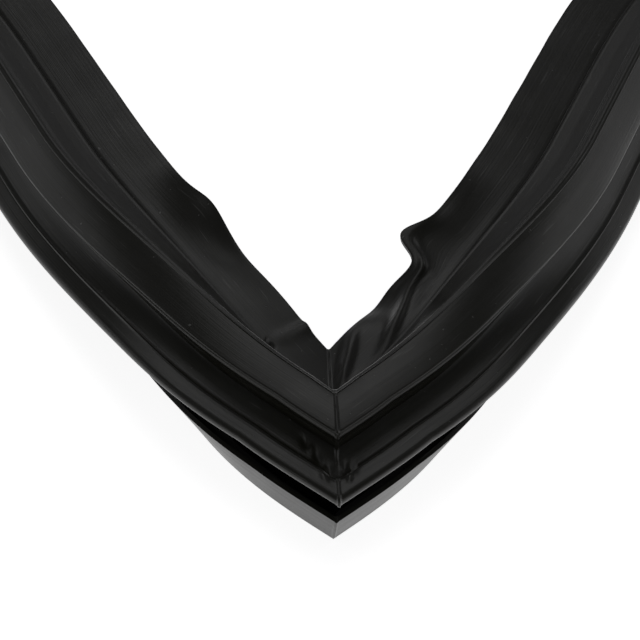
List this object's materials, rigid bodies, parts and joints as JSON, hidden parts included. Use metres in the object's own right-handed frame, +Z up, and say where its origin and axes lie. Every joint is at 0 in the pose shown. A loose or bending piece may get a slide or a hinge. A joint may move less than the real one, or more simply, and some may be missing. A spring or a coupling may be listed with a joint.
{
  "type": "refrigerator door gasket",
  "caption": "Soft magnetic door seal: a mitre-welded square loop of hollow section with magnet pocket, bellows, flange, gripping foot and thin inner flap.",
  "frame": {"origin": "on the floor plane under the middle of the loop", "axes": "+Z up, out of the magnet face; the four sides run along X and Y"},
  "size_m": [0.5668, 0.5668, 0.0279],
  "materials": {
    "soft_vinyl": "black soft vinyl, satin, with fine die lines along its length",
    "magnet_compound": "dark brown ferrite-filled strip, matt"
  },
  "bodies": {
    "root": {"gasket_body": "soft_vinyl", "magnet_strip_front": "magnet_compound", "magnet_strip_right": "magnet_compound", "magnet_strip_back": "magnet_compound", "magnet_strip_left": "magnet_compound"}
  },
  "joints": []
}
